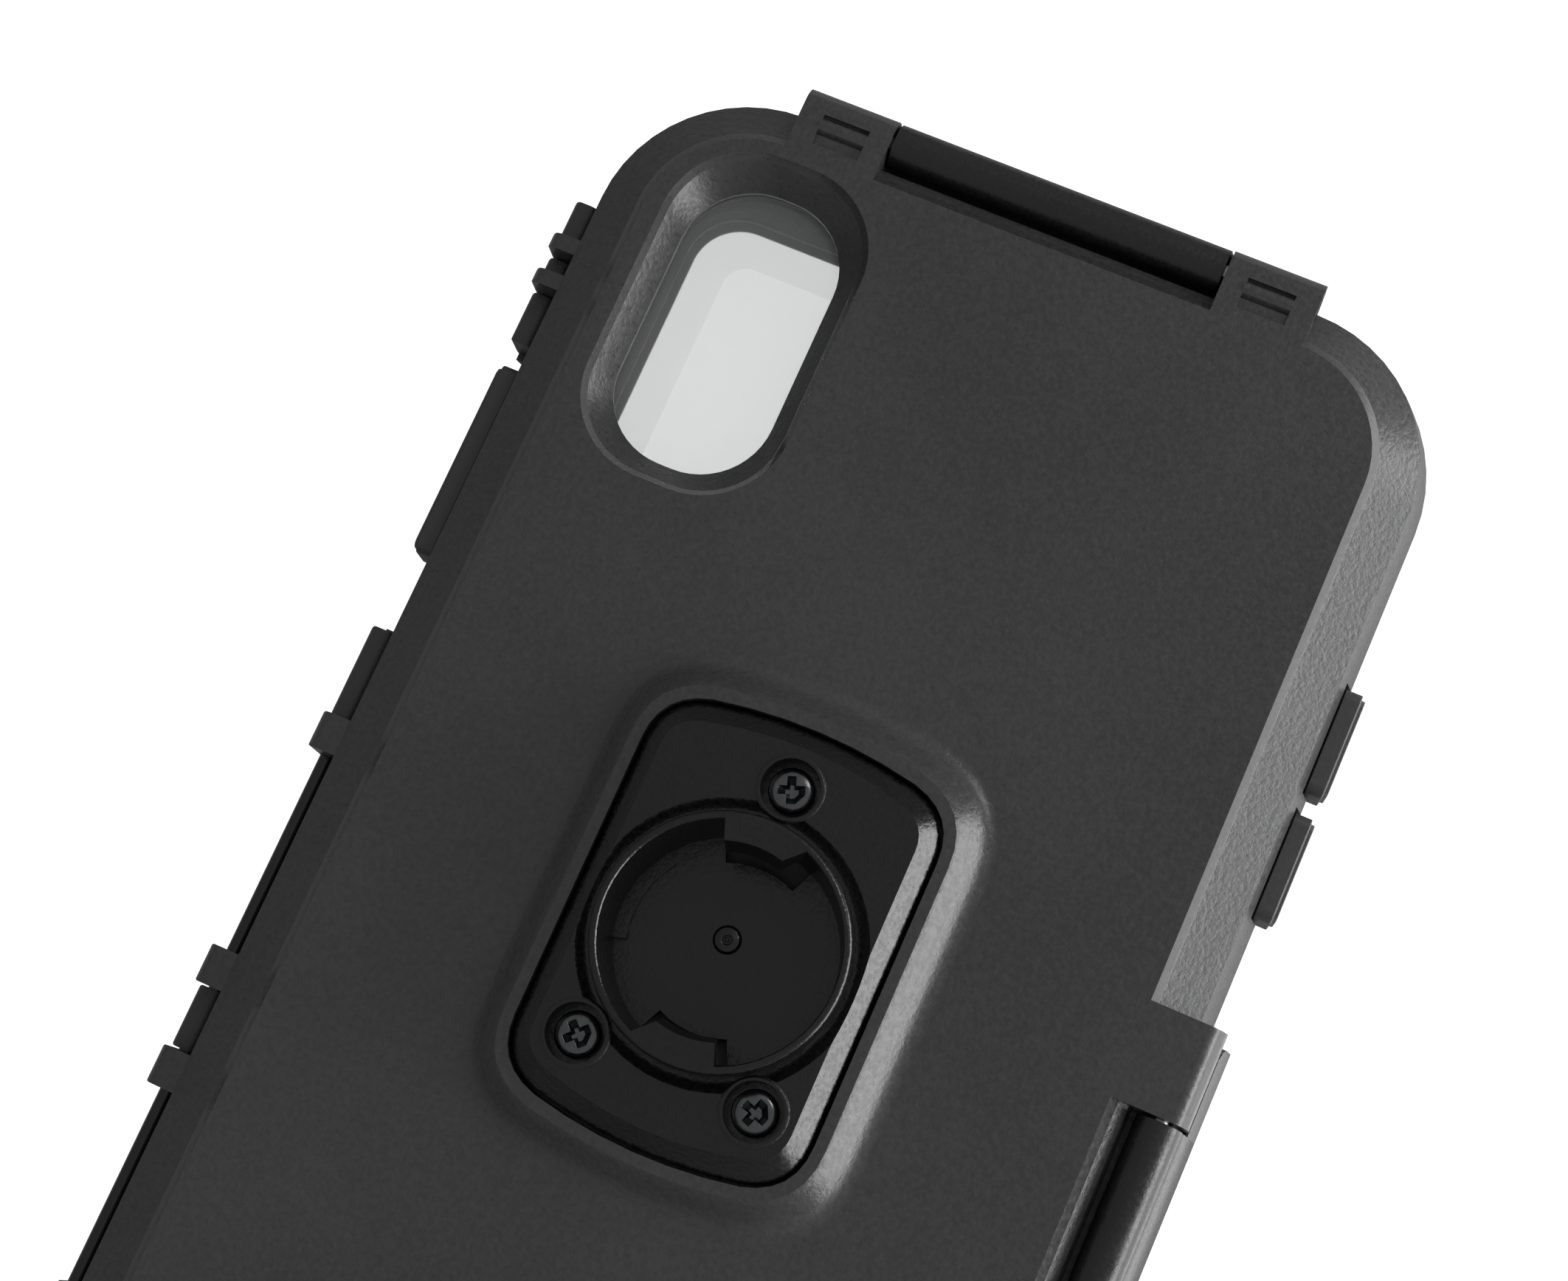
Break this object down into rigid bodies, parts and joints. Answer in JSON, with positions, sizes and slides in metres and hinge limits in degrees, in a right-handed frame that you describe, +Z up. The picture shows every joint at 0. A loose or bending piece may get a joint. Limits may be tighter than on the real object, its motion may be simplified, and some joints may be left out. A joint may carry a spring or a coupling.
{
  "type": "hinged weather-proof phone case with bayonet mount socket",
  "caption": "Rigid black clamshell phone case with a side hinge, two barrel latches, a camera window, button pads and a raised bayonet socket for a handlebar mount on its back.",
  "frame": {"origin": "under the middle of the closed case, in the plane of its front face, bounding box bottom centre", "axes": "+Z up through the back of the case as it lies on its front frame, +Y along the case towards the camera end, +X away from the hinge side"},
  "size_m": [0.0899, 0.1623, 0.0225],
  "materials": {
    "shell_plastic": "fine matte grain",
    "frame_plastic": "satin",
    "latch_plastic": "semi-gloss",
    "plate_plastic": "semi-gloss, faintly mottled",
    "seal_rubber": "matte",
    "button_rubber": "matte",
    "cushion_foam": "closed-cell foam",
    "pin_steel": "drawn wire",
    "rod_black": "glossy black",
    "screw_steel": "blackened",
    "insert_brass": "knurled",
    "lens_clear": "clear, glossy",
    "membrane_clear": "clear film, glossy",
    "mesh_steel": "fine woven mesh"
  },
  "bodies": {
    "frame": {"front_frame": "frame_plastic", "main_seal": "seal_rubber", "inner_liner": "seal_rubber", "screen_membrane": "membrane_clear", "membrane_bezel": "frame_plastic", "speaker_mesh": "mesh_steel", "microphone_mesh": "mesh_steel", "hinge_pin_upper": "rod_black", "hinge_pin_lower": "rod_black", "power_seal": "seal_rubber", "volume_up_seal": "seal_rubber", "volume_down_seal": "seal_rubber", "port_door_pin": "pin_steel"},
    "shell": {"back_shell": "shell_plastic", "camera_lens": "lens_clear", "camera_lens_retainer": "seal_rubber", "back_cushion": "cushion_foam", "mount_plate": "plate_plastic", "mount_gasket": "seal_rubber", "mount_screw_1": "screw_steel", "mount_screw_2": "screw_steel", "mount_screw_3": "screw_steel", "screw_insert_1": "insert_brass", "screw_insert_2": "insert_brass", "screw_insert_3": "insert_brass", "top_latch_pin": "pin_steel", "side_latch_pin": "pin_steel"},
    "top_latch": {"top_latch": "latch_plastic"},
    "side_latch": {"side_latch": "latch_plastic"},
    "power_button": {"power_button": "button_rubber"},
    "volume_up_button": {"volume_up_button": "button_rubber"},
    "volume_down_button": {"volume_down_button": "button_rubber"},
    "port_door": {"port_door": "latch_plastic", "port_door_seal": "seal_rubber"}
  },
  "joints": [
    {"name": "case_hinge", "type": "hinge", "parent": "frame", "child": "shell", "pos_m": [-0.04325, 0, 0.009], "axis": [0, -1, 0], "range_deg": [0, 110]},
    {"name": "top_latch_pivot", "type": "hinge", "parent": "shell", "child": "top_latch", "pos_m": [0, 0.07775, 0.0141], "axis": [1, 0, 0], "range_deg": [0, 100]},
    {"name": "side_latch_pivot", "type": "hinge", "parent": "shell", "child": "side_latch", "pos_m": [0.0415, -0.01555, 0.0141], "axis": [0, -1, 0], "range_deg": [0, 100]},
    {"name": "power_press", "type": "slide", "parent": "frame", "child": "power_button", "axis": [1, 0, 0], "range_m": [0, 0.0006], "stiffness_N_per_m": 1500},
    {"name": "volume_up_press", "type": "slide", "parent": "frame", "child": "volume_up_button", "axis": [-1, 0, 0], "range_m": [0, 0.0006], "stiffness_N_per_m": 1500},
    {"name": "volume_down_press", "type": "slide", "parent": "frame", "child": "volume_down_button", "axis": [-1, 0, 0], "range_m": [0, 0.0006], "stiffness_N_per_m": 1500},
    {"name": "port_door_hinge", "type": "hinge", "parent": "frame", "child": "port_door", "pos_m": [0, -0.08, 0.0083], "axis": [-1, 0, 0], "range_deg": [0, 90]}
  ]
}
